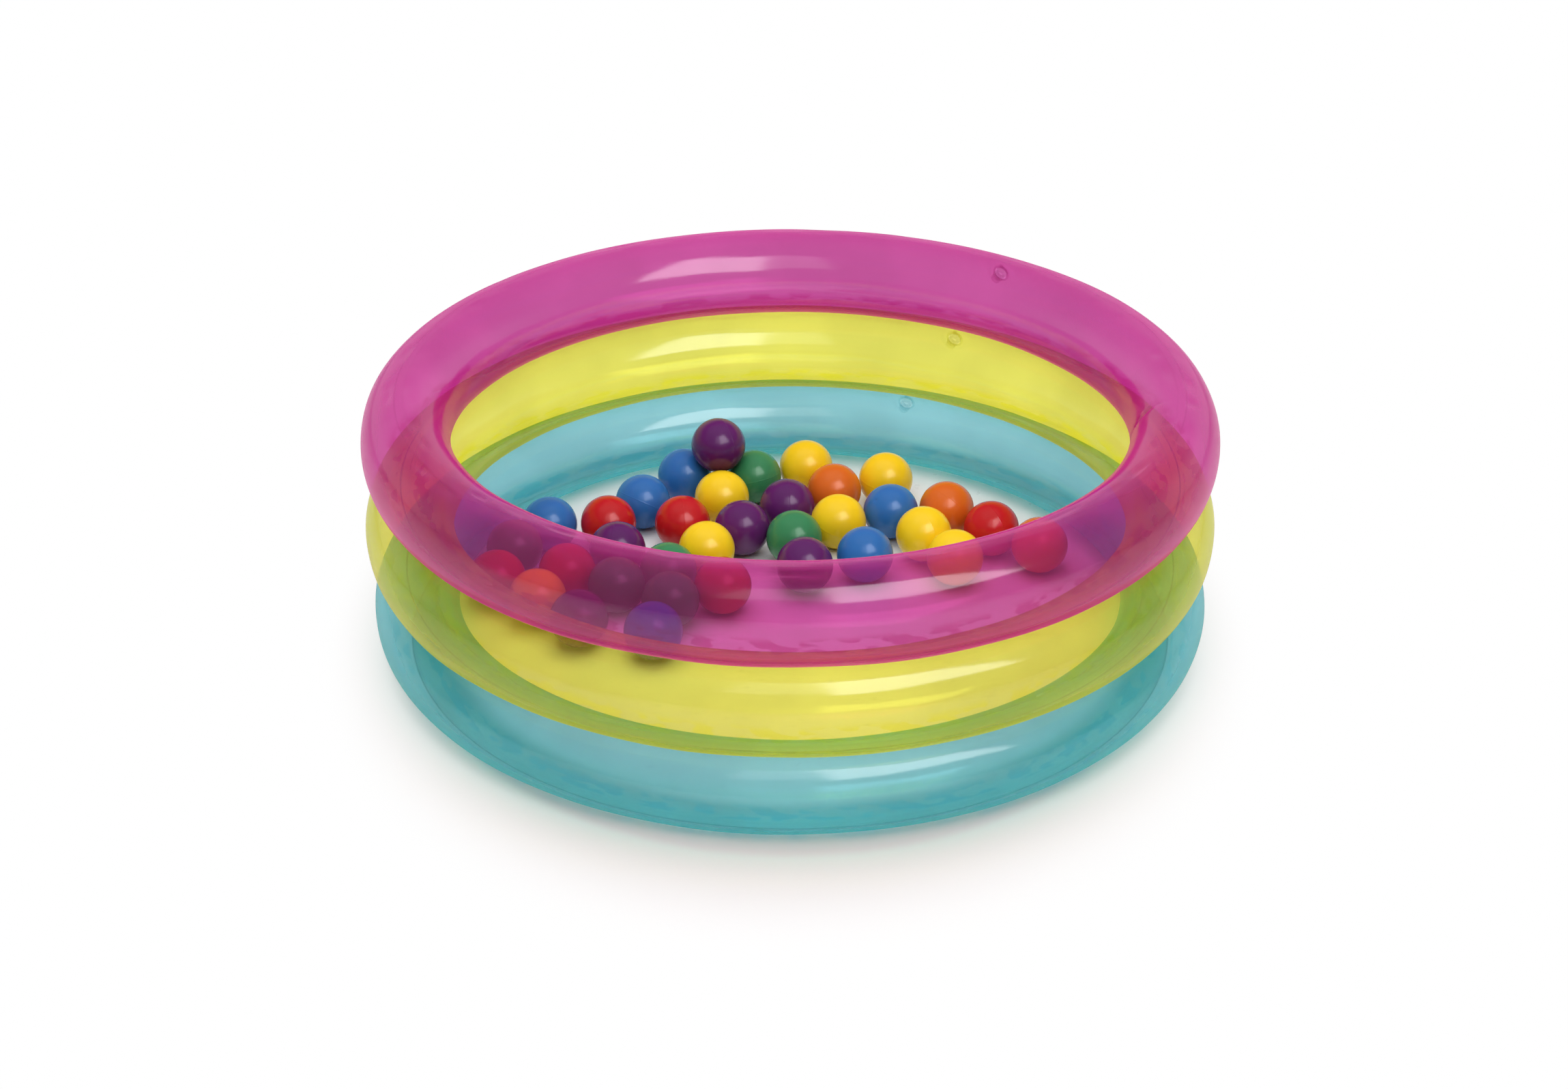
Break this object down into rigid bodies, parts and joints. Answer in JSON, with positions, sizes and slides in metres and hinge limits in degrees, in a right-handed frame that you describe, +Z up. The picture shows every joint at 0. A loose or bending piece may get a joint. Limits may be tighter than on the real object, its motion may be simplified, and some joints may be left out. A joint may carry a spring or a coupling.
{
  "type": "ball pit",
  "caption": "Round inflatable ball pit: a low wall of stacked, air-filled rings of clear tinted vinyl film on a film floor, holding loose hollow play balls; each ring has a plugged air valve.",
  "frame": {"origin": "centre of the pit's round plan, on the underside of the floor sheet", "axes": "+Z up; +Y away from the side the picture is taken from, towards the side where most of the balls lie; +X to the right in the picture"},
  "size_m": [0.8234, 0.8234, 0.26],
  "materials": {
    "floor_film": "thin white vinyl film, soft gloss",
    "pink_film": "clear pink tinted vinyl film, high gloss",
    "yellow_film": "clear yellow tinted vinyl film, high gloss",
    "blue_film": "clear blue tinted vinyl film, high gloss",
    "pink_valve_vinyl": "soft pink tinted vinyl, moulded",
    "yellow_valve_vinyl": "soft yellow tinted vinyl, moulded",
    "blue_valve_vinyl": "soft blue tinted vinyl, moulded",
    "blue_ball": "blue blow-moulded polyethylene, semi-gloss",
    "green_ball": "green blow-moulded polyethylene, semi-gloss",
    "orange_ball": "orange blow-moulded polyethylene, semi-gloss",
    "purple_ball": "purple blow-moulded polyethylene, semi-gloss",
    "red_ball": "red blow-moulded polyethylene, semi-gloss",
    "yellow_ball": "yellow blow-moulded polyethylene, semi-gloss"
  },
  "bodies": {
    "pit": {"floor_sheet": "floor_film", "bottom_ring": "blue_film", "middle_ring": "yellow_film", "top_ring": "pink_film", "bottom_valve_base": "blue_valve_vinyl", "middle_valve_base": "yellow_valve_vinyl", "top_valve_base": "pink_valve_vinyl"},
    "purple_ball_raised": {"purple_ball_raised": "purple_ball"},
    "bottom_valve_stem": {"bottom_valve_stem": "blue_valve_vinyl"},
    "bottom_valve_plug": {"bottom_valve_plug": "blue_valve_vinyl"},
    "middle_valve_stem": {"middle_valve_stem": "yellow_valve_vinyl"},
    "middle_valve_plug": {"middle_valve_plug": "yellow_valve_vinyl"},
    "top_valve_stem": {"top_valve_stem": "pink_valve_vinyl"},
    "top_valve_plug": {"top_valve_plug": "pink_valve_vinyl"},
    "blue_ball_1": {"blue_ball_1": "blue_ball"},
    "blue_ball_2": {"blue_ball_2": "blue_ball"},
    "blue_ball_3": {"blue_ball_3": "blue_ball"},
    "blue_ball_4": {"blue_ball_4": "blue_ball"},
    "blue_ball_5": {"blue_ball_5": "blue_ball"},
    "blue_ball_6": {"blue_ball_6": "blue_ball"},
    "green_ball_1": {"green_ball_1": "green_ball"},
    "green_ball_2": {"green_ball_2": "green_ball"},
    "green_ball_3": {"green_ball_3": "green_ball"},
    "green_ball_4": {"green_ball_4": "green_ball"},
    "green_ball_5": {"green_ball_5": "green_ball"},
    "green_ball_6": {"green_ball_6": "green_ball"},
    "orange_ball_1": {"orange_ball_1": "orange_ball"},
    "orange_ball_2": {"orange_ball_2": "orange_ball"},
    "orange_ball_3": {"orange_ball_3": "orange_ball"},
    "purple_ball_1": {"purple_ball_1": "purple_ball"},
    "purple_ball_2": {"purple_ball_2": "purple_ball"},
    "purple_ball_3": {"purple_ball_3": "purple_ball"},
    "purple_ball_4": {"purple_ball_4": "purple_ball"},
    "purple_ball_5": {"purple_ball_5": "purple_ball"},
    "red_ball_1": {"red_ball_1": "red_ball"},
    "red_ball_2": {"red_ball_2": "red_ball"},
    "red_ball_3": {"red_ball_3": "red_ball"},
    "red_ball_4": {"red_ball_4": "red_ball"},
    "red_ball_5": {"red_ball_5": "red_ball"},
    "red_ball_6": {"red_ball_6": "red_ball"},
    "yellow_ball_1": {"yellow_ball_1": "yellow_ball"},
    "yellow_ball_2": {"yellow_ball_2": "yellow_ball"},
    "yellow_ball_3": {"yellow_ball_3": "yellow_ball"},
    "yellow_ball_4": {"yellow_ball_4": "yellow_ball"},
    "yellow_ball_5": {"yellow_ball_5": "yellow_ball"},
    "yellow_ball_6": {"yellow_ball_6": "yellow_ball"},
    "yellow_ball_7": {"yellow_ball_7": "yellow_ball"},
    "yellow_ball_8": {"yellow_ball_8": "yellow_ball"}
  },
  "joints": [
    {"name": "purple_ball_raised_lift", "type": "slide", "parent": "pit", "child": "purple_ball_raised", "axis": [0, 0, 1], "range_m": [0, 0.32]},
    {"name": "bottom_valve_pull", "type": "slide", "parent": "pit", "child": "bottom_valve_stem", "axis": [0.3137, 0.924, 0.2185], "range_m": [0, 0.01]},
    {"name": "bottom_plug_swing", "type": "hinge", "parent": "bottom_valve_stem", "child": "bottom_valve_plug", "pos_m": [0.13054, 0.38455, 0.05989], "axis": [0.9469, -0.3214, 0], "range_deg": [0, 150]},
    {"name": "middle_valve_pull", "type": "slide", "parent": "pit", "child": "middle_valve_stem", "axis": [0.4321, 0.8762, 0.2133], "range_m": [0, 0.01]},
    {"name": "middle_plug_swing", "type": "hinge", "parent": "middle_valve_stem", "child": "middle_valve_plug", "pos_m": [0.18087, 0.36678, 0.14606], "axis": [0.8969, -0.4423, 0], "range_deg": [0, 150]},
    {"name": "top_valve_pull", "type": "slide", "parent": "pit", "child": "top_valve_stem", "axis": [0.5439, 0.814, 0.2038], "range_m": [0, 0.01]},
    {"name": "top_plug_swing", "type": "hinge", "parent": "top_valve_stem", "child": "top_valve_plug", "pos_m": [0.22637, 0.33879, 0.23576], "axis": [0.8315, -0.5556, 0], "range_deg": [0, 150]},
    {"name": "blue_ball_1_lift", "type": "slide", "parent": "pit", "child": "blue_ball_1", "axis": [0, 0, 1], "range_m": [0, 0.27]},
    {"name": "blue_ball_2_lift", "type": "slide", "parent": "pit", "child": "blue_ball_2", "axis": [0, 0, 1], "range_m": [0, 0.272]},
    {"name": "blue_ball_3_lift", "type": "slide", "parent": "pit", "child": "blue_ball_3", "axis": [0, 0, 1], "range_m": [0, 0.27]},
    {"name": "blue_ball_4_lift", "type": "slide", "parent": "pit", "child": "blue_ball_4", "axis": [0, 0, 1], "range_m": [0, 0.27]},
    {"name": "blue_ball_5_lift", "type": "slide", "parent": "pit", "child": "blue_ball_5", "axis": [0, 0, 1], "range_m": [0, 0.27]},
    {"name": "blue_ball_6_lift", "type": "slide", "parent": "pit", "child": "blue_ball_6", "axis": [0, 0, 1], "range_m": [0, 0.27]},
    {"name": "green_ball_1_lift", "type": "slide", "parent": "pit", "child": "green_ball_1", "axis": [0, 0, 1], "range_m": [0, 0.272]},
    {"name": "green_ball_2_lift", "type": "slide", "parent": "pit", "child": "green_ball_2", "axis": [0, 0, 1], "range_m": [0, 0.27]},
    {"name": "green_ball_3_lift", "type": "slide", "parent": "pit", "child": "green_ball_3", "axis": [0, 0, 1], "range_m": [0, 0.27]},
    {"name": "green_ball_4_lift", "type": "slide", "parent": "pit", "child": "green_ball_4", "axis": [0, 0, 1], "range_m": [0, 0.27]},
    {"name": "green_ball_5_lift", "type": "slide", "parent": "pit", "child": "green_ball_5", "axis": [0, 0, 1], "range_m": [0, 0.27]},
    {"name": "green_ball_6_lift", "type": "slide", "parent": "pit", "child": "green_ball_6", "axis": [0, 0, 1], "range_m": [0, 0.27]},
    {"name": "orange_ball_1_lift", "type": "slide", "parent": "pit", "child": "orange_ball_1", "axis": [0, 0, 1], "range_m": [0, 0.27]},
    {"name": "orange_ball_2_lift", "type": "slide", "parent": "pit", "child": "orange_ball_2", "axis": [0, 0, 1], "range_m": [0, 0.27]},
    {"name": "orange_ball_3_lift", "type": "slide", "parent": "pit", "child": "orange_ball_3", "axis": [0, 0, 1], "range_m": [0, 0.27]},
    {"name": "purple_ball_1_lift", "type": "slide", "parent": "pit", "child": "purple_ball_1", "axis": [0, 0, 1], "range_m": [0, 0.27]},
    {"name": "purple_ball_2_lift", "type": "slide", "parent": "pit", "child": "purple_ball_2", "axis": [0, 0, 1], "range_m": [0, 0.27]},
    {"name": "purple_ball_3_lift", "type": "slide", "parent": "pit", "child": "purple_ball_3", "axis": [0, 0, 1], "range_m": [0, 0.27]},
    {"name": "purple_ball_4_lift", "type": "slide", "parent": "pit", "child": "purple_ball_4", "axis": [0, 0, 1], "range_m": [0, 0.27]},
    {"name": "purple_ball_5_lift", "type": "slide", "parent": "pit", "child": "purple_ball_5", "axis": [0, 0, 1], "range_m": [0, 0.27]},
    {"name": "red_ball_1_lift", "type": "slide", "parent": "pit", "child": "red_ball_1", "axis": [0, 0, 1], "range_m": [0, 0.27]},
    {"name": "red_ball_2_lift", "type": "slide", "parent": "pit", "child": "red_ball_2", "axis": [0, 0, 1], "range_m": [0, 0.27]},
    {"name": "red_ball_3_lift", "type": "slide", "parent": "pit", "child": "red_ball_3", "axis": [0, 0, 1], "range_m": [0, 0.27]},
    {"name": "red_ball_4_lift", "type": "slide", "parent": "pit", "child": "red_ball_4", "axis": [0, 0, 1], "range_m": [0, 0.27]},
    {"name": "red_ball_5_lift", "type": "slide", "parent": "pit", "child": "red_ball_5", "axis": [0, 0, 1], "range_m": [0, 0.27]},
    {"name": "red_ball_6_lift", "type": "slide", "parent": "pit", "child": "red_ball_6", "axis": [0, 0, 1], "range_m": [0, 0.27]},
    {"name": "yellow_ball_1_lift", "type": "slide", "parent": "pit", "child": "yellow_ball_1", "axis": [0, 0, 1], "range_m": [0, 0.272]},
    {"name": "yellow_ball_2_lift", "type": "slide", "parent": "pit", "child": "yellow_ball_2", "axis": [0, 0, 1], "range_m": [0, 0.27]},
    {"name": "yellow_ball_3_lift", "type": "slide", "parent": "pit", "child": "yellow_ball_3", "axis": [0, 0, 1], "range_m": [0, 0.27]},
    {"name": "yellow_ball_4_lift", "type": "slide", "parent": "pit", "child": "yellow_ball_4", "axis": [0, 0, 1], "range_m": [0, 0.27]},
    {"name": "yellow_ball_5_lift", "type": "slide", "parent": "pit", "child": "yellow_ball_5", "axis": [0, 0, 1], "range_m": [0, 0.27]},
    {"name": "yellow_ball_6_lift", "type": "slide", "parent": "pit", "child": "yellow_ball_6", "axis": [0, 0, 1], "range_m": [0, 0.27]},
    {"name": "yellow_ball_7_lift", "type": "slide", "parent": "pit", "child": "yellow_ball_7", "axis": [0, 0, 1], "range_m": [0, 0.27]},
    {"name": "yellow_ball_8_lift", "type": "slide", "parent": "pit", "child": "yellow_ball_8", "axis": [0, 0, 1], "range_m": [0, 0.27]}
  ],
  "couplings": [
    {"joint": "blue_ball_2_lift", "follows": "purple_ball_raised_lift", "ratio": 0.85},
    {"joint": "green_ball_1_lift", "follows": "purple_ball_raised_lift", "ratio": 0.85},
    {"joint": "yellow_ball_1_lift", "follows": "purple_ball_raised_lift", "ratio": 0.85}
  ]
}
